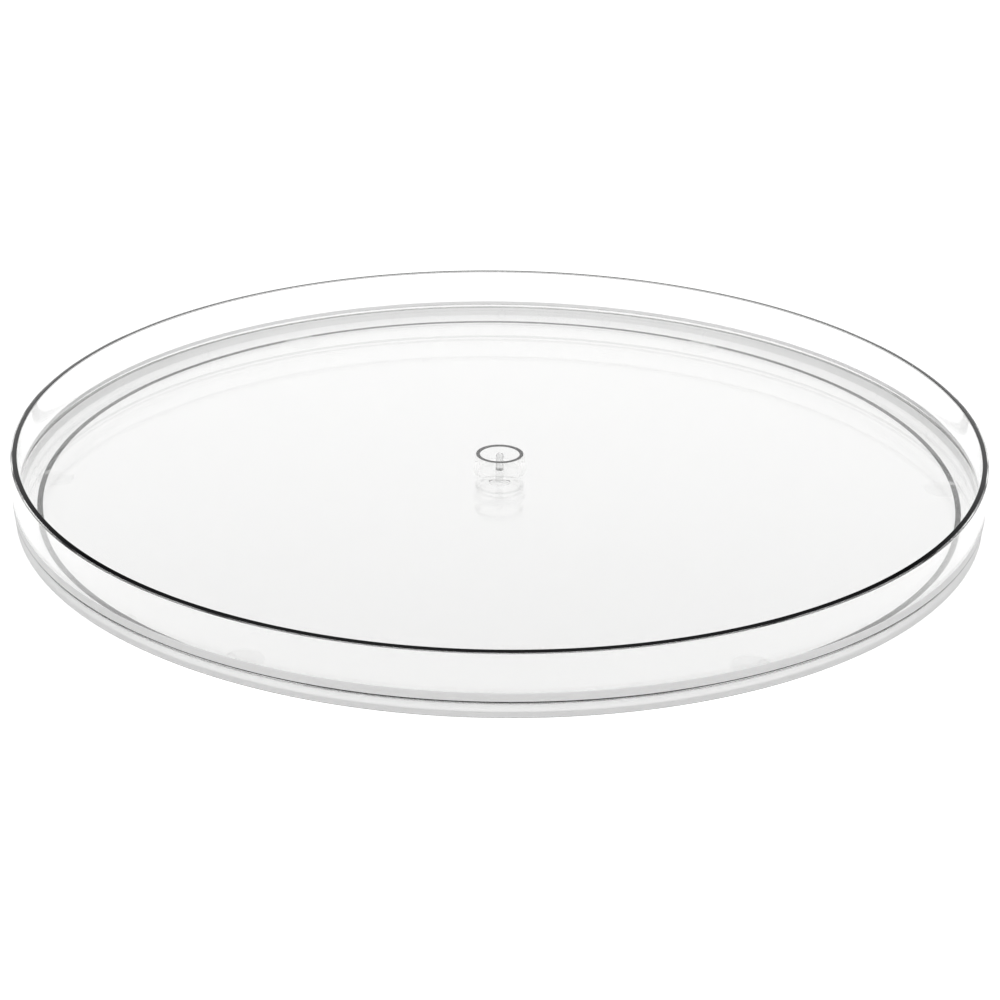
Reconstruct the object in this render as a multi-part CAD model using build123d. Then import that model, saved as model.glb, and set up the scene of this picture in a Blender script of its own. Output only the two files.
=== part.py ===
from build123d import *
import os
from math import cos, radians, sin

# Clear plastic lazy susan turntable: a rimmed tray that turns on a low base.
#
# The tray has a low ring, the hub, in the middle of its floor. A short post on the base
# carries a thin pin that passes through the floor inside the hub and keeps the tray centred.
# A ring of clear balls in a retainer carries the load near the rim. The tops of the rim and
# of the hub slope down outwards. All lengths are millimetres, +Z is up, and the origin is on
# the table under the hub.

# ---- driving dimensions -------------------------------------------------------------------
TRAY_RADIUS = 152.5
TRAY_HEIGHT = 15.4
WALL_THICKNESS = 2.0
FLOOR_THICKNESS = 2.4
RIM_TOP_FALL = 0.55

BASE_RADIUS = 152.0
BASE_HEIGHT = 4.4
BASE_WALL_THICKNESS = 1.8
BASE_PLATE_THICKNESS = 1.5
TRAY_TO_BASE_GAP = 0.5

FOOT_COUNT = 6
FOOT_RADIUS = 6.0
FOOT_THICKNESS = 0.5
FOOT_CIRCLE_RADIUS = 141.0

BALL_COUNT = 24
BALL_RUNNING_CLEARANCE = 0.05

RETAINER_WIDTH = 6.5
RETAINER_THICKNESS = 1.2
RETAINER_TO_WALL_GAP = 0.3
POCKET_CLEARANCE = 0.1

HUB_TOP_RADIUS = 7.8
HUB_FOOT_RADIUS = 8.1
HUB_BELOW_RIM = 7.5
HUB_WALL_THICKNESS = 1.5
HUB_TOP_FALL = 0.25

PIN_RADIUS = 1.25
PIN_RUNNING_CLEARANCE = 0.05
PIN_SEAT_DEPTH = 3.0
PIN_TIP_ROUNDING = 0.9

POST_FOOT_RADIUS = 3.4
POST_TOP_RADIUS = 2.6
POST_SEAT_DEPTH = 0.8
POST_TO_TRAY_GAP = 0.4

CLIP_RADIUS = 3.0
CLIP_THICKNESS = 0.6
CLIP_TO_FLOOR_GAP = 0.3

# ---- heights and radii worked out from them -----------------------------------------------
BASE_BOTTOM = FOOT_THICKNESS
BASE_PLATE_TOP = BASE_BOTTOM + BASE_PLATE_THICKNESS
BASE_RIM_TOP = BASE_BOTTOM + BASE_HEIGHT

TRAY_BOTTOM = BASE_RIM_TOP + TRAY_TO_BASE_GAP
TRAY_FLOOR_TOP = TRAY_BOTTOM + FLOOR_THICKNESS
TRAY_RIM_TOP = TRAY_BOTTOM + TRAY_HEIGHT

BALL_CENTER_HEIGHT = (BASE_PLATE_TOP + TRAY_BOTTOM) / 2
BALL_RADIUS = (TRAY_BOTTOM - BASE_PLATE_TOP) / 2 - BALL_RUNNING_CLEARANCE
BASE_WALL_INNER_RADIUS = BASE_RADIUS - BASE_WALL_THICKNESS
RETAINER_OUTER_RADIUS = BASE_WALL_INNER_RADIUS - RETAINER_TO_WALL_GAP
RETAINER_INNER_RADIUS = RETAINER_OUTER_RADIUS - RETAINER_WIDTH
BALL_TRACK_RADIUS = (RETAINER_INNER_RADIUS + RETAINER_OUTER_RADIUS) / 2

TRAY_RIM_OUTER_TOP = TRAY_RIM_TOP - RIM_TOP_FALL
HUB_TOP = TRAY_RIM_TOP - HUB_BELOW_RIM
HUB_OUTER_TOP = HUB_TOP - HUB_TOP_FALL
HUB_INNER_RADIUS = HUB_TOP_RADIUS - HUB_WALL_THICKNESS

POST_BOTTOM = BASE_PLATE_TOP - POST_SEAT_DEPTH
POST_TOP = TRAY_BOTTOM - POST_TO_TRAY_GAP

# ---- small edge radii ---------------------------------------------------------------------
RIM_EDGE_RADIUS = 0.2
LOWER_EDGE_RADIUS = 0.4
HUB_EDGE_RADIUS = 0.2
HUB_FOOT_FILLET = 0.8
FOOT_EDGE_RADIUS = 0.2


def revolved(*corners):
    """Solid of revolution about Z from (radius, height) corners."""
    outline = Polyline(*[(radius, 0, height) for radius, height in corners], close=True)
    return revolve(make_face(outline), Axis.Z)


def rounded_circle(solid, radius, height, edge_radius):
    """Fillet the one circular edge of the solid that has this radius and height."""
    tolerance = 0.01
    matches = []
    for edge in solid.edges().filter_by(GeomType.CIRCLE):
        same_radius = abs(edge.radius - radius) < tolerance
        same_height = abs(edge.arc_center.Z - height) < tolerance
        if same_radius and same_height:
            matches.append(edge)
    return fillet(matches, edge_radius)


def around(count, radius, first_degrees=0.0):
    """Evenly spaced (x, y) places on a circle about the origin."""
    places = []
    for index in range(count):
        angle = radians(first_degrees + 360.0 * index / count)
        places.append((radius * cos(angle), radius * sin(angle)))
    return places


def turntable_tray():
    """Floor, upright rim wall and the hub's low ring in one moulding."""
    inner_radius = TRAY_RADIUS - WALL_THICKNESS
    pin_bore = PIN_RADIUS + PIN_RUNNING_CLEARANCE
    tray = revolved(
        (pin_bore, TRAY_BOTTOM),
        (TRAY_RADIUS, TRAY_BOTTOM),
        (TRAY_RADIUS, TRAY_RIM_OUTER_TOP),
        (inner_radius, TRAY_RIM_TOP),
        (inner_radius, TRAY_FLOOR_TOP),
        (HUB_FOOT_RADIUS, TRAY_FLOOR_TOP),
        (HUB_TOP_RADIUS, HUB_OUTER_TOP),
        (HUB_INNER_RADIUS, HUB_TOP),
        (HUB_INNER_RADIUS, TRAY_FLOOR_TOP),
        (pin_bore, TRAY_FLOOR_TOP),
    )
    tray = rounded_circle(tray, TRAY_RADIUS, TRAY_RIM_OUTER_TOP, RIM_EDGE_RADIUS)
    tray = rounded_circle(tray, inner_radius, TRAY_RIM_TOP, RIM_EDGE_RADIUS)
    tray = rounded_circle(tray, TRAY_RADIUS, TRAY_BOTTOM, LOWER_EDGE_RADIUS)
    tray = rounded_circle(tray, HUB_FOOT_RADIUS, TRAY_FLOOR_TOP, HUB_FOOT_FILLET)
    tray = rounded_circle(tray, HUB_TOP_RADIUS, HUB_OUTER_TOP, HUB_EDGE_RADIUS)
    return rounded_circle(tray, HUB_INNER_RADIUS, HUB_TOP, HUB_EDGE_RADIUS)


def base_plate():
    """Low dish with an upright edge and a socket for the post. The balls run on its flat top."""
    base = revolved(
        (0, BASE_BOTTOM),
        (BASE_RADIUS, BASE_BOTTOM),
        (BASE_RADIUS, BASE_RIM_TOP),
        (BASE_WALL_INNER_RADIUS, BASE_RIM_TOP),
        (BASE_WALL_INNER_RADIUS, BASE_PLATE_TOP),
        (POST_FOOT_RADIUS, BASE_PLATE_TOP),
        (POST_FOOT_RADIUS, POST_BOTTOM),
        (0, POST_BOTTOM),
    )
    base = rounded_circle(base, BASE_RADIUS, BASE_BOTTOM, LOWER_EDGE_RADIUS)
    return rounded_circle(base, BASE_RADIUS, BASE_RIM_TOP, LOWER_EDGE_RADIUS)


def center_post():
    """Short tapered post that fills the base's socket and holds the pin."""
    pin_seat_bottom = POST_TOP - PIN_SEAT_DEPTH
    return revolved(
        (0, POST_BOTTOM),
        (POST_FOOT_RADIUS, POST_BOTTOM),
        (POST_FOOT_RADIUS, BASE_PLATE_TOP),
        (POST_TOP_RADIUS, POST_TOP),
        (PIN_RADIUS, POST_TOP),
        (PIN_RADIUS, pin_seat_bottom),
        (0, pin_seat_bottom),
    )


def pivot_pin():
    """Thin pin pressed in the post. It passes through the tray and ends level with the hub."""
    pin_bottom = POST_TOP - PIN_SEAT_DEPTH
    length = HUB_TOP - pin_bottom
    pin = Pos(0, 0, pin_bottom) * Cylinder(
        PIN_RADIUS, length, align=(Align.CENTER, Align.CENTER, Align.MIN)
    )
    return rounded_circle(pin, PIN_RADIUS, HUB_TOP, PIN_TIP_ROUNDING)


def retaining_clip():
    """Push-on ring on the pin, just above the tray's floor, so that the tray can't lift off."""
    clip_bottom = TRAY_FLOOR_TOP + CLIP_TO_FLOOR_GAP
    clip_top = clip_bottom + CLIP_THICKNESS
    return revolved(
        (PIN_RADIUS, clip_bottom),
        (CLIP_RADIUS, clip_bottom),
        (CLIP_RADIUS, clip_top),
        (PIN_RADIUS, clip_top),
    )


def ball_retainer():
    """Flat ring with one round pocket for each ball. The base's upright edge keeps it centred."""
    bottom = BALL_CENTER_HEIGHT - RETAINER_THICKNESS / 2
    top = BALL_CENTER_HEIGHT + RETAINER_THICKNESS / 2
    retainer = revolved(
        (RETAINER_INNER_RADIUS, bottom),
        (RETAINER_OUTER_RADIUS, bottom),
        (RETAINER_OUTER_RADIUS, top),
        (RETAINER_INNER_RADIUS, top),
    )
    pocket = Cylinder(BALL_RADIUS + POCKET_CLEARANCE, 2 * RETAINER_THICKNESS)
    for x, y in around(BALL_COUNT, BALL_TRACK_RADIUS):
        retainer -= Pos(x, y, BALL_CENTER_HEIGHT) * pocket
    return retainer


def bearing_balls():
    """One ball in each pocket of the retainer."""
    balls = {}
    for index, (x, y) in enumerate(around(BALL_COUNT, BALL_TRACK_RADIUS)):
        name = f"bearing_ball_{index + 1:02d}"
        balls[name] = Pos(x, y, BALL_CENTER_HEIGHT) * Sphere(BALL_RADIUS)
    return balls


def foot_pads():
    """Thin soft round pads stuck to the base's underside."""
    pads = {}
    for index, (x, y) in enumerate(around(FOOT_COUNT, FOOT_CIRCLE_RADIUS)):
        pad = Cylinder(FOOT_RADIUS, FOOT_THICKNESS, align=(Align.CENTER, Align.CENTER, Align.MIN))
        pad = rounded_circle(pad, FOOT_RADIUS, 0, FOOT_EDGE_RADIUS)
        pads[f"foot_pad_{index + 1}"] = Pos(x, y, 0) * pad
    return pads


def all_nodes():
    """Every piece by name."""
    nodes = {
        "turntable_tray": turntable_tray(),
        "base_plate": base_plate(),
        "center_post": center_post(),
        "pivot_pin": pivot_pin(),
        "retaining_clip": retaining_clip(),
        "ball_retainer": ball_retainer(),
    }
    nodes.update(bearing_balls())
    nodes.update(foot_pads())
    return nodes


os.makedirs("parts", exist_ok=True)
for node_name, solid in all_nodes().items():
    export_step(solid, f"parts/{node_name}.step")
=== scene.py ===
import math

import bmesh
import bpy
from mathutils import Matrix, Vector


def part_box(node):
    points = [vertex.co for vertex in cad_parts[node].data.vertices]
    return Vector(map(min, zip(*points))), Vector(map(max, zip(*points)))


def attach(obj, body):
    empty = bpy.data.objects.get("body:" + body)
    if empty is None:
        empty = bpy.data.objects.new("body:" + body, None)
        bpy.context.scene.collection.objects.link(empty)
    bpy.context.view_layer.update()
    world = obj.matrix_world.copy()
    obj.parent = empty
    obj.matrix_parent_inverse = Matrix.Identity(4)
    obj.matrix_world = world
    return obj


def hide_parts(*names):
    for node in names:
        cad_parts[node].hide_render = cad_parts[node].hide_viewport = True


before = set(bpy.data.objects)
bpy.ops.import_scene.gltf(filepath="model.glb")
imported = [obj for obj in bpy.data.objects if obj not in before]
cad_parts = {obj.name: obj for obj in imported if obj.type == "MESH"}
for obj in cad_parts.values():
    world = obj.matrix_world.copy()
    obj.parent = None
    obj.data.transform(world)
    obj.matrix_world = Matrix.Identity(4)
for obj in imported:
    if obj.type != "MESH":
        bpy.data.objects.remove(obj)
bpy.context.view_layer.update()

MM = 0.001

# ---- sizes that the frame gives -------------------------------------------------------------
TRAY_LOW, TRAY_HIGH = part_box("turntable_tray")
BASE_LOW, BASE_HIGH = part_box("base_plate")
POST_LOW, POST_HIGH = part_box("center_post")
PIN_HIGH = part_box("pivot_pin")[1]

TRAY_RADIUS = TRAY_HIGH.x
BASE_RADIUS = BASE_HIGH.x
HUB_TOP = PIN_HIGH.z
PIN_RADIUS = PIN_HIGH.x
POST_FOOT_RADIUS = POST_HIGH.x

# ---- wall thicknesses and small radii, as moulded ---------------------------------------------
WALL_THICKNESS = 2.0 * MM
FLOOR_THICKNESS = 2.4 * MM
RIM_TOP_FALL = 0.55 * MM
RIM_EDGE_RADIUS = 0.2 * MM
LOWER_EDGE_RADIUS = 0.4 * MM

HUB_TOP_RADIUS = 7.8 * MM
HUB_FOOT_RADIUS = 8.1 * MM
HUB_WALL_THICKNESS = 1.5 * MM
HUB_TOP_FALL = 0.25 * MM
HUB_EDGE_RADIUS = 0.2 * MM
HUB_FOOT_FILLET = 0.8 * MM
HUB_LEAN_DEGREES = 3
HUB_SEAM = 0.02 * MM
PIN_CLEARANCE = 0.05 * MM
PIN_BORE_RADIUS = PIN_RADIUS + PIN_CLEARANCE

BASE_WALL_THICKNESS = 1.8 * MM
BASE_PLATE_THICKNESS = 1.5 * MM
SEAT_CLEARANCE = 0.03 * MM

RIM_INNER_RADIUS = TRAY_RADIUS - WALL_THICKNESS
FLOOR_TOP = TRAY_LOW.z + FLOOR_THICKNESS
HUB_INNER_RADIUS = HUB_TOP_RADIUS - HUB_WALL_THICKNESS

ROUND_SEGMENTS = 384
SHORTEST_SUPPORTED_RUN = 0.7 * MM
SUPPORT_OFFSET = 0.1 * MM

# ---- finish -----------------------------------------------------------------------------------
TRAY_COLOR = (0.992, 0.992, 0.99)
BASE_COLOR = (0.95, 0.95, 0.948)
CLEAR_IOR = 1.59
HUB_IOR = 1.05
CLEAR_GLOSS = 0.5
FROST_ROUGHNESS = 0.5
FROST_OPACITY = 0.5
# Colour of the painted shade: the dark lines painted onto the edges of the clear mouldings.
PAINTED_EDGE_SHADE = (0.004, 0.004, 0.005)
EDGE_BAND_SOFTNESS = 0.1 * MM
EDGE_GLOSS = 0.12

MILKY_IOR = 1.4
MILKY_DARKEST = (0.86, 0.87, 0.87, 1)
MILKY_LIGHTEST = (0.97, 0.97, 0.97, 1)
MILKY_FADE_DEPTH = 0.3 * MM
MILKY_FADED_ALPHA = 0.1

# Noise scales are in cycles per metre.
HAZE_SCALE = 35.0
HAZE_LOW, HAZE_HIGH = 0.35, 0.75
HAZE_ROUGHNESS = 0.03
FLOW_MARK_SCALE = 9.0
FLOW_MARK_STRENGTH = 0.02
FLOW_MARK_DEPTH = 1.0 * MM
CLOUD_SCALE = 300.0
CLOUD_LOW, CLOUD_HIGH = 0.3, 0.7
GRAIN_SCALE = 2500.0
GRAIN_STRENGTH = 0.1
GRAIN_DEPTH = 0.2 * MM

# ---- painted shade on the edges of the clear mouldings, and frosted edges that let out light ----
# A band is (inner and outer radius), (low and high height), strength.
RIM_LINE_FROM = 0.05 * MM
RIM_LINE_TO = 1.4 * MM
RIM_LINE_DEPTH = 0.6 * MM
TRAY_FOOT_LINE_WIDTH = 0.4 * MM
TRAY_FOOT_LINE_HEIGHT = 0.45 * MM
FROST_WIDTH = 0.1 * MM
FROST_ABOVE_FLOOR = 0.7 * MM
HUB_LINE_WIDTH = 1.1 * MM
HUB_LINE_DEPTH = 0.3 * MM
HUB_LINE_STRENGTH = 0.75

# Painted shade: a dark ring painted on the base's flat underside. The CAD has no step or groove
# there.
BASE_SHADE_RING_INNER_RADIUS = 143.5 * MM
BASE_SHADE_RING_OUTER_RADIUS = 145.1 * MM
BASE_SHADE_RING_HEIGHT = 0.05 * MM
# Painted shade: a dark line along the base's bottom outer edge.
BASE_FOOT_LINE_WIDTH = 0.3 * MM
BASE_FOOT_LINE_HEIGHT = 0.25 * MM
BASE_FOOT_LINE_STRENGTH = 0.6

# Painted shade: dark lines on the rim's top and along the tray's bottom outer edge.
TRAY_PAINTED_SHADE = [
    ((RIM_INNER_RADIUS + RIM_LINE_FROM, RIM_INNER_RADIUS + RIM_LINE_TO),
     (TRAY_HIGH.z - RIM_LINE_DEPTH, TRAY_HIGH.z), 1.0),
    ((TRAY_RADIUS - TRAY_FOOT_LINE_WIDTH, TRAY_RADIUS),
     (TRAY_LOW.z, TRAY_LOW.z + TRAY_FOOT_LINE_HEIGHT), 1.0),
]
TRAY_FROSTED = [
    ((TRAY_RADIUS - FROST_WIDTH, TRAY_RADIUS),
     (TRAY_LOW.z + LOWER_EDGE_RADIUS, FLOOR_TOP + FROST_ABOVE_FLOOR), 1.0),
]
# Painted shade: a dark line on the hub's top.
HUB_PAINTED_SHADE = [
    ((HUB_INNER_RADIUS, HUB_INNER_RADIUS + HUB_LINE_WIDTH),
     (HUB_TOP - HUB_LINE_DEPTH, HUB_TOP), HUB_LINE_STRENGTH),
]
# Painted shade: the ring on the underside and the line along the base's bottom outer edge.
BASE_PAINTED_SHADE = [
    ((BASE_SHADE_RING_INNER_RADIUS, BASE_SHADE_RING_OUTER_RADIUS),
     (BASE_LOW.z, BASE_LOW.z + BASE_SHADE_RING_HEIGHT), 1.0),
    ((BASE_RADIUS - BASE_FOOT_LINE_WIDTH, BASE_RADIUS),
     (BASE_LOW.z, BASE_LOW.z + BASE_FOOT_LINE_HEIGHT), BASE_FOOT_LINE_STRENGTH),
]
BASE_FROSTED = [
    ((BASE_RADIUS - FROST_WIDTH, BASE_RADIUS),
     (BASE_LOW.z + LOWER_EDGE_RADIUS, BASE_HIGH.z), 1.0),
]
NO_BANDS = [((0, 0), (0, 0), 0)]


# ---- mesh building ----------------------------------------------------------------------------
def arc(center, radius, start_degrees, end_degrees, steps=6):
    """Points (radius from the axis, height) along an arc of a section outline."""
    points = []
    for step in range(steps + 1):
        angle = math.radians(start_degrees + (end_degrees - start_degrees) * step / steps)
        points.append((center[0] + radius * math.cos(angle), center[1] + radius * math.sin(angle)))
    return points


def sloped_top(outer, inner, top, fall, edge_radius, wall_lean=0):
    """Outline over the top of a wall that is highest at its inner edge, both edges rounded.

    top is the height of the highest point of the rounded inner edge."""
    slope = math.atan2(fall, outer - inner)
    inner_center = top - edge_radius
    inner_corner = inner_center + edge_radius * (1 + math.sin(slope)) / math.cos(slope)
    outer_center = inner_corner - fall - edge_radius * (1 - math.sin(slope)) / math.cos(slope)
    face_normal = 90 - math.degrees(slope)
    outline = arc((outer - edge_radius, outer_center), edge_radius, wall_lean, face_normal)
    outline += arc((inner + edge_radius, inner_center), edge_radius, face_normal, 180)
    return outline


def with_support_points(outline, closed):
    """The outline with two more points just inside each long run, so flat faces shade flat."""
    ends = outline[1:] + (outline[:1] if closed else [])
    points = []
    for start, end in zip(outline, ends):
        points.append(start)
        run = math.dist(start, end)
        if run < SHORTEST_SUPPORTED_RUN:
            continue
        for along in (SUPPORT_OFFSET / run, 1 - SUPPORT_OFFSET / run):
            point = tuple(a + (b - a) * along for a, b in zip(start, end))
            if point[0] > 2 * SUPPORT_OFFSET:
                points.append(point)
    if not closed:
        points.append(outline[-1])
    return points


def lathe(name, outline, closed=True):
    """Closed mesh turned about Z from an outline of (radius, height) points.

    A closed outline is a ring's section. An open one starts and ends on the axis."""
    mesh = bmesh.new()
    rings = []
    for radius, height in with_support_points(outline, closed):
        if radius == 0:
            rings.append([mesh.verts.new((0.0, 0.0, height))])
            continue
        ring = []
        for index in range(ROUND_SEGMENTS):
            angle = 2 * math.pi * index / ROUND_SEGMENTS
            place = (radius * math.cos(angle), radius * math.sin(angle), height)
            ring.append(mesh.verts.new(place))
        rings.append(ring)
    pairs = list(zip(rings, rings[1:]))
    if closed:
        pairs.append((rings[-1], rings[0]))
    for low, high in pairs:
        for index in range(ROUND_SEGMENTS):
            after = (index + 1) % ROUND_SEGMENTS
            corners = [low[index % len(low)], low[after % len(low)],
                       high[after % len(high)], high[index % len(high)]]
            unique = list(dict.fromkeys(corners))
            if len(unique) > 2:
                mesh.faces.new(unique)
    bmesh.ops.recalc_face_normals(mesh, faces=mesh.faces)
    data = bpy.data.meshes.new(name)
    mesh.to_mesh(data)
    mesh.free()
    piece = bpy.data.objects.new(name, data)
    bpy.context.scene.collection.objects.link(piece)
    smooth(piece)
    return piece


def smooth(piece, sharp_degrees=25):
    """Smooth shading, with creases kept sharp."""
    for face in piece.data.polygons:
        face.use_smooth = True
    piece.data.set_sharp_from_angle(angle=math.radians(sharp_degrees))


# ---- material nodes ---------------------------------------------------------------------------
def new_material(name):
    material = bpy.data.materials.new(name)
    material.use_nodes = True
    nodes = material.node_tree.nodes
    return material, nodes, material.node_tree.links, nodes["Principled BSDF"]


def add_math(nodes, links, operation, first, second=None):
    """Math node fed by two sockets or numbers. Returns its output."""
    node = nodes.new("ShaderNodeMath")
    node.operation = operation
    for socket, value in zip(node.inputs, (first, second)):
        if value is None:
            continue
        if isinstance(value, (int, float)):
            socket.default_value = value
        else:
            links.new(value, socket)
    return node.outputs[0]


def add_range(nodes, links, value, low, high, to_low=0.0, to_high=1.0, smooth_step=False):
    """Map Range node from low..high to to_low..to_high. Returns its output."""
    node = nodes.new("ShaderNodeMapRange")
    node.interpolation_type = "SMOOTHSTEP" if smooth_step else "LINEAR"
    node.inputs["From Min"].default_value = low
    node.inputs["From Max"].default_value = high
    node.inputs["To Min"].default_value = to_low
    node.inputs["To Max"].default_value = to_high
    links.new(value, node.inputs["Value"])
    return node.outputs["Result"]


def add_noise(nodes, links, place, scale, detail):
    node = nodes.new("ShaderNodeTexNoise")
    node.inputs["Scale"].default_value = scale
    node.inputs["Detail"].default_value = detail
    links.new(place, node.inputs["Vector"])
    return node.outputs["Fac"]


def add_bump(nodes, links, shader, height, strength, distance):
    bump = nodes.new("ShaderNodeBump")
    bump.inputs["Strength"].default_value = strength
    bump.inputs["Distance"].default_value = distance
    links.new(height, bump.inputs["Height"])
    links.new(bump.outputs["Normal"], shader.inputs["Normal"])


def add_radius_and_height(nodes, links, place):
    """Distance from the Z axis and height, in metres, of the shaded point."""
    split = nodes.new("ShaderNodeSeparateXYZ")
    links.new(place, split.inputs[0])
    x, y, z = split.outputs
    squares = add_math(nodes, links, "ADD",
                       add_math(nodes, links, "MULTIPLY", x, x),
                       add_math(nodes, links, "MULTIPLY", y, y))
    return add_math(nodes, links, "SQRT", squares), z


def add_band(nodes, links, radius, height, radii, heights, strength):
    """Soft-edged ring-shaped region: strength inside the radii and heights, 0 outside."""
    soft = EDGE_BAND_SOFTNESS
    inside = add_range(nodes, links, radius, radii[0] - soft, radii[0], smooth_step=True)
    outside = add_range(nodes, links, radius, radii[1], radii[1] + soft, 1, 0, smooth_step=True)
    above = add_range(nodes, links, height, heights[0] - soft, heights[0], smooth_step=True)
    below = add_range(nodes, links, height, heights[1], heights[1] + soft, 1, 0, smooth_step=True)
    ring = add_math(nodes, links, "MULTIPLY", inside, outside)
    layer = add_math(nodes, links, "MULTIPLY", above, below)
    return add_math(nodes, links, "MULTIPLY", add_math(nodes, links, "MULTIPLY", ring, layer),
                    strength)


def add_bands(nodes, links, radius, height, bands):
    """The strongest of several bands."""
    strongest = None
    for settings in bands:
        band = add_band(nodes, links, radius, height, *settings)
        if strongest is None:
            strongest = band
        else:
            strongest = add_math(nodes, links, "MAXIMUM", strongest, band)
    return strongest


def add_painted_shade_and_frost(nodes, links, shader, color, painted_shade_mask, frosted):
    """Paint dark shade onto the painted-shade bands and dull their gloss. Cloud the frosted ones.
    """
    # Painted shade: the base colour turns near-black where the painted-shade mask is high.
    tint = nodes.new("ShaderNodeMix")
    tint.data_type = "RGBA"
    links.new(painted_shade_mask, tint.inputs["Factor"])
    tint.inputs["A"].default_value = (*color, 1)
    tint.inputs["B"].default_value = (*PAINTED_EDGE_SHADE, 1)
    links.new(tint.outputs["Result"], shader.inputs["Base Color"])
    cloudy = add_range(nodes, links, frosted, 0, 1, 0, FROST_OPACITY)
    opaque = add_math(nodes, links, "MAXIMUM", painted_shade_mask, cloudy)
    links.new(add_range(nodes, links, opaque, 0, 1, 1, 0), shader.inputs["Transmission Weight"])
    gloss = add_range(nodes, links, painted_shade_mask, 0, 1, CLEAR_GLOSS, EDGE_GLOSS)
    links.new(gloss, shader.inputs["Specular IOR Level"])


# ---- materials --------------------------------------------------------------------------------
def clear_plastic(name, color, painted_shade_edges, frosted_edges=NO_BANDS, ior=CLEAR_IOR):
    """Polished clear moulding: faint flow marks, and gloss that varies a little.

    painted_shade_edges are bands where dark shade is painted onto the edge. frosted_edges are
    bands where it lets its light out and looks pale."""
    material, nodes, links, shader = new_material(name)
    shader.inputs["IOR"].default_value = ior
    place = nodes.new("ShaderNodeTexCoord").outputs["Object"]
    radius, height = add_radius_and_height(nodes, links, place)
    painted_shade_mask = add_bands(nodes, links, radius, height, painted_shade_edges)
    frosted = add_bands(nodes, links, radius, height, frosted_edges)
    add_painted_shade_and_frost(nodes, links, shader, color, painted_shade_mask, frosted)
    haze = add_noise(nodes, links, place, HAZE_SCALE, 4.0)
    polish = add_range(nodes, links, haze, HAZE_LOW, HAZE_HIGH, 0.0, HAZE_ROUGHNESS)
    frost = add_range(nodes, links, frosted, 0, 1, 0, FROST_ROUGHNESS)
    links.new(add_math(nodes, links, "MAXIMUM", polish, frost), shader.inputs["Roughness"])
    flow_marks = add_noise(nodes, links, place, FLOW_MARK_SCALE, 1.0)
    add_bump(nodes, links, shader, flow_marks, FLOW_MARK_STRENGTH, FLOW_MARK_DEPTH)
    return material


def milky_plastic(name, transmission, alpha, roughness=(0.15, 0.3), fade_below=None):
    """Natural nylon or soft silicone: cloudy white, a little uneven.

    Below the height fade_below the piece shows only faintly through the parts around it."""
    material, nodes, links, shader = new_material(name)
    shader.inputs["Transmission Weight"].default_value = transmission
    shader.inputs["IOR"].default_value = MILKY_IOR
    shader.inputs["Alpha"].default_value = alpha
    place = nodes.new("ShaderNodeTexCoord").outputs["Object"]
    cloud = add_noise(nodes, links, place, CLOUD_SCALE, 3.0)
    tint = nodes.new("ShaderNodeValToRGB")
    tint.color_ramp.elements[0].color = MILKY_DARKEST
    tint.color_ramp.elements[1].color = MILKY_LIGHTEST
    links.new(cloud, tint.inputs["Fac"])
    links.new(tint.outputs["Color"], shader.inputs["Base Color"])
    uneven = add_range(nodes, links, cloud, CLOUD_LOW, CLOUD_HIGH, *roughness)
    links.new(uneven, shader.inputs["Roughness"])
    if fade_below is not None:
        height = add_radius_and_height(nodes, links, place)[1]
        fade = add_range(nodes, links, height, fade_below - MILKY_FADE_DEPTH, fade_below,
                         MILKY_FADED_ALPHA, alpha)
        links.new(fade, shader.inputs["Alpha"])
    grain = add_noise(nodes, links, place, GRAIN_SCALE, 2.0)
    add_bump(nodes, links, shader, grain, GRAIN_STRENGTH, GRAIN_DEPTH)
    return material


# ---- the object -------------------------------------------------------------------------------
def make_tray(material):
    """Floor with the pin's hole, and the upright wall with its sloped top."""
    outline = [(PIN_BORE_RADIUS, TRAY_LOW.z)]
    outline += arc((TRAY_RADIUS - LOWER_EDGE_RADIUS, TRAY_LOW.z + LOWER_EDGE_RADIUS),
                   LOWER_EDGE_RADIUS, -90, 0)
    outline += sloped_top(TRAY_RADIUS, RIM_INNER_RADIUS, TRAY_HIGH.z, RIM_TOP_FALL,
                          RIM_EDGE_RADIUS)
    outline += [(RIM_INNER_RADIUS, FLOOR_TOP), (PIN_BORE_RADIUS, FLOOR_TOP)]
    tray = lathe("tray_clear", outline)
    tray.data.materials.append(material)
    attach(tray, "tray")
    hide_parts("turntable_tray")


def make_hub(material):
    """Low ring on the tray's floor, with a sloped top. In the CAD it is part of the tray."""
    foot = FLOOR_TOP + HUB_SEAM
    outline = arc((HUB_FOOT_RADIUS + HUB_FOOT_FILLET, foot + HUB_FOOT_FILLET),
                  HUB_FOOT_FILLET, -90, HUB_LEAN_DEGREES - 180)
    outline += sloped_top(HUB_TOP_RADIUS, HUB_INNER_RADIUS, HUB_TOP, HUB_TOP_FALL,
                          HUB_EDGE_RADIUS, HUB_LEAN_DEGREES)
    outline += [(HUB_INNER_RADIUS, foot)]
    hub = lathe("hub_ring", outline)
    hub.data.materials.append(material)
    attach(hub, "tray")


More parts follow.
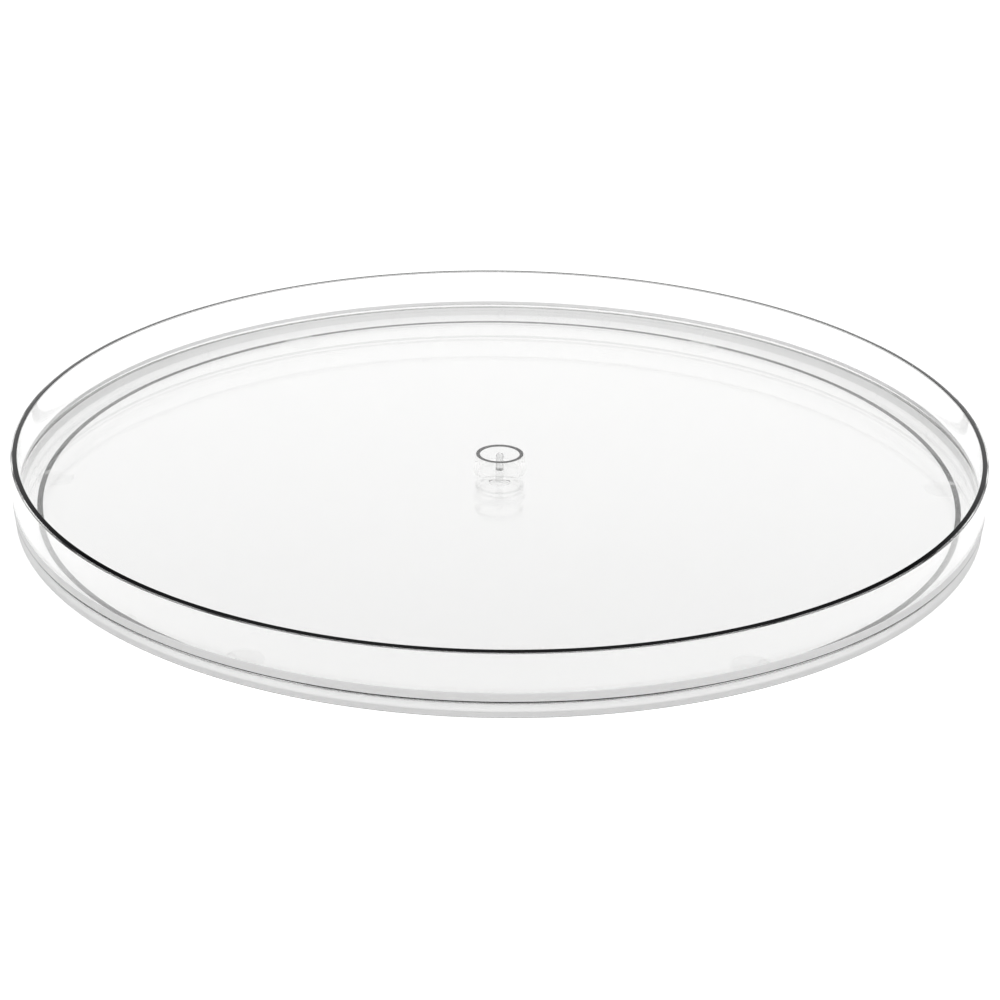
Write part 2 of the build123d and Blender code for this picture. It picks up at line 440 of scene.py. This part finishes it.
def make_base(material):
    """Low dish with an upright edge and the socket that holds the post."""
    wall_inner = BASE_RADIUS - BASE_WALL_THICKNESS
    plate_top = BASE_LOW.z + BASE_PLATE_THICKNESS
    socket_radius = POST_FOOT_RADIUS + SEAT_CLEARANCE
    socket_floor = POST_LOW.z - SEAT_CLEARANCE
    outline = [(0, BASE_LOW.z)]
    outline += arc((BASE_RADIUS - LOWER_EDGE_RADIUS, BASE_LOW.z + LOWER_EDGE_RADIUS),
                   LOWER_EDGE_RADIUS, -90, 0)
    outline += arc((BASE_RADIUS - LOWER_EDGE_RADIUS, BASE_HIGH.z - LOWER_EDGE_RADIUS),
                   LOWER_EDGE_RADIUS, 0, 90)
    outline += [(wall_inner, BASE_HIGH.z), (wall_inner, plate_top), (socket_radius, plate_top),
                (socket_radius, socket_floor), (0, socket_floor)]
    base = lathe("base_clear", outline, closed=False)
    base.data.materials.append(material)
    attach(base, "base")
    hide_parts("base_plate")


def finish_nodes(names, material):
    """Give the CAD pieces with these names this material."""
    for name in names:
        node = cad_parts[name]
        node.data.materials.clear()
        node.data.materials.append(material)


def nodes_named(start):
    return [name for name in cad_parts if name.startswith(start)]


# ---- studio -----------------------------------------------------------------------------------
CAMERA_ELEVATION = math.radians(22.78)
CAMERA_ROLL = math.radians(0.71)
CAMERA_DISTANCE = 6 * TRAY_RADIUS
TRAY_RADIUS_IN_FRAME = 0.4838
SENSOR_WIDTH = 36.0
AIM_BELOW_RIM = 23.6 * MM
AIM_SIDEWAYS = 0.25 * MM

FLOOR_SIZE = 12
FLOOR_COLOR = (0.3, 0.3, 0.3, 1)
FLOOR_GLOW = 1.0

# (upward part of the unit direction, brightness). The first two are the ramp's own stops.
SKY = [(0.352, 0.97), (0.66, 0.02), (0.407, 0.80), (0.454, 0.61), (0.52, 0.4), (0.60, 0.05)]


def make_camera():
    data = bpy.data.cameras.new("camera")
    data.sensor_width = SENSOR_WIDTH
    data.lens = TRAY_RADIUS_IN_FRAME * SENSOR_WIDTH * CAMERA_DISTANCE / TRAY_RADIUS
    data.clip_start = 0.05
    data.clip_end = 100
    camera = bpy.data.objects.new("camera", data)
    bpy.context.scene.collection.objects.link(camera)
    rim_center = Vector((0, 0, TRAY_HIGH.z))
    toward = Vector((0, -math.cos(CAMERA_ELEVATION), math.sin(CAMERA_ELEVATION)))
    camera.location = rim_center + toward * CAMERA_DISTANCE
    aim = rim_center + Vector((AIM_SIDEWAYS, 0, -AIM_BELOW_RIM))
    look = (aim - camera.location).to_track_quat("-Z", "Y").to_matrix()
    tilt = Matrix.Rotation(CAMERA_ROLL, 3, "Z")
    camera.rotation_euler = (look @ tilt).to_euler()
    bpy.context.scene.camera = camera


def make_floor():
    """Plain white sweep that the object stands on."""
    bpy.ops.mesh.primitive_plane_add(size=FLOOR_SIZE, location=(0, 0, 0))
    floor = bpy.context.object
    floor.name = "studio_floor"
    material, _, _, shader = new_material("studio_white")
    shader.inputs["Base Color"].default_value = FLOOR_COLOR
    shader.inputs["Roughness"].default_value = 0.9
    shader.inputs["Specular IOR Level"].default_value = 0.0
    shader.inputs["Emission Color"].default_value = (1, 1, 1, 1)
    shader.inputs["Emission Strength"].default_value = FLOOR_GLOW
    floor.data.materials.append(material)


def make_world():
    """White light from low all round, darker overhead."""
    world = bpy.data.worlds.new("studio")
    bpy.context.scene.world = world
    world.use_nodes = True
    nodes = world.node_tree.nodes
    links = world.node_tree.links
    direction = nodes.new("ShaderNodeTexCoord")
    split = nodes.new("ShaderNodeSeparateXYZ")
    links.new(direction.outputs["Generated"], split.inputs[0])
    ramp = nodes.new("ShaderNodeValToRGB")
    stops = ramp.color_ramp.elements
    places = [stops[0], stops[1]] + [stops.new(rise) for rise, brightness in SKY[2:]]
    for stop, (rise, brightness) in zip(places, SKY):
        stop.position = rise
        stop.color = (brightness, brightness, brightness, 1)
    links.new(split.outputs["Z"], ramp.inputs["Fac"])
    links.new(ramp.outputs["Color"], nodes["Background"].inputs["Color"])
    nodes["Background"].inputs["Strength"].default_value = 1.0


def set_view():
    settings = bpy.context.scene.view_settings
    settings.view_transform = "Standard"
    settings.look = "None"


def set_light_paths():
    """Enough bounces for light to run along inside the clear walls."""
    paths = bpy.context.scene.cycles
    paths.max_bounces = 200
    paths.diffuse_bounces = 24
    paths.glossy_bounces = 160
    paths.transmission_bounces = 160
    paths.transparent_max_bounces = 32


make_camera()
make_floor()
make_world()
set_view()
set_light_paths()

make_tray(clear_plastic("clear_tray_plastic", TRAY_COLOR, TRAY_PAINTED_SHADE, TRAY_FROSTED))
make_hub(clear_plastic("clear_hub_plastic", TRAY_COLOR, HUB_PAINTED_SHADE, ior=HUB_IOR))
make_base(clear_plastic("clear_base_plastic", BASE_COLOR, BASE_PAINTED_SHADE, BASE_FROSTED))

# The photograph shows none of the pieces below but the pin, so they are nearly transparent.
finish_nodes(["center_post"], milky_plastic("post_plastic", transmission=0.9, alpha=0.03))
finish_nodes(["pivot_pin"], milky_plastic("pin_plastic", transmission=0.8, alpha=0.6,
                                          roughness=(0.02, 0.08), fade_below=TRAY_LOW.z))
finish_nodes(["retaining_clip"], milky_plastic("clip_nylon", transmission=0.9, alpha=0.03))
finish_nodes(["ball_retainer"], milky_plastic("retainer_plastic", transmission=1.0, alpha=0.02))
finish_nodes(nodes_named("bearing_ball"), milky_plastic("ball_plastic", transmission=1.0,
                                                        alpha=0.05, roughness=(0.0, 0.05)))
finish_nodes(nodes_named("foot_pad"), milky_plastic("pad_silicone", transmission=1.0,
                                                    alpha=0.02, roughness=(0.3, 0.5)))
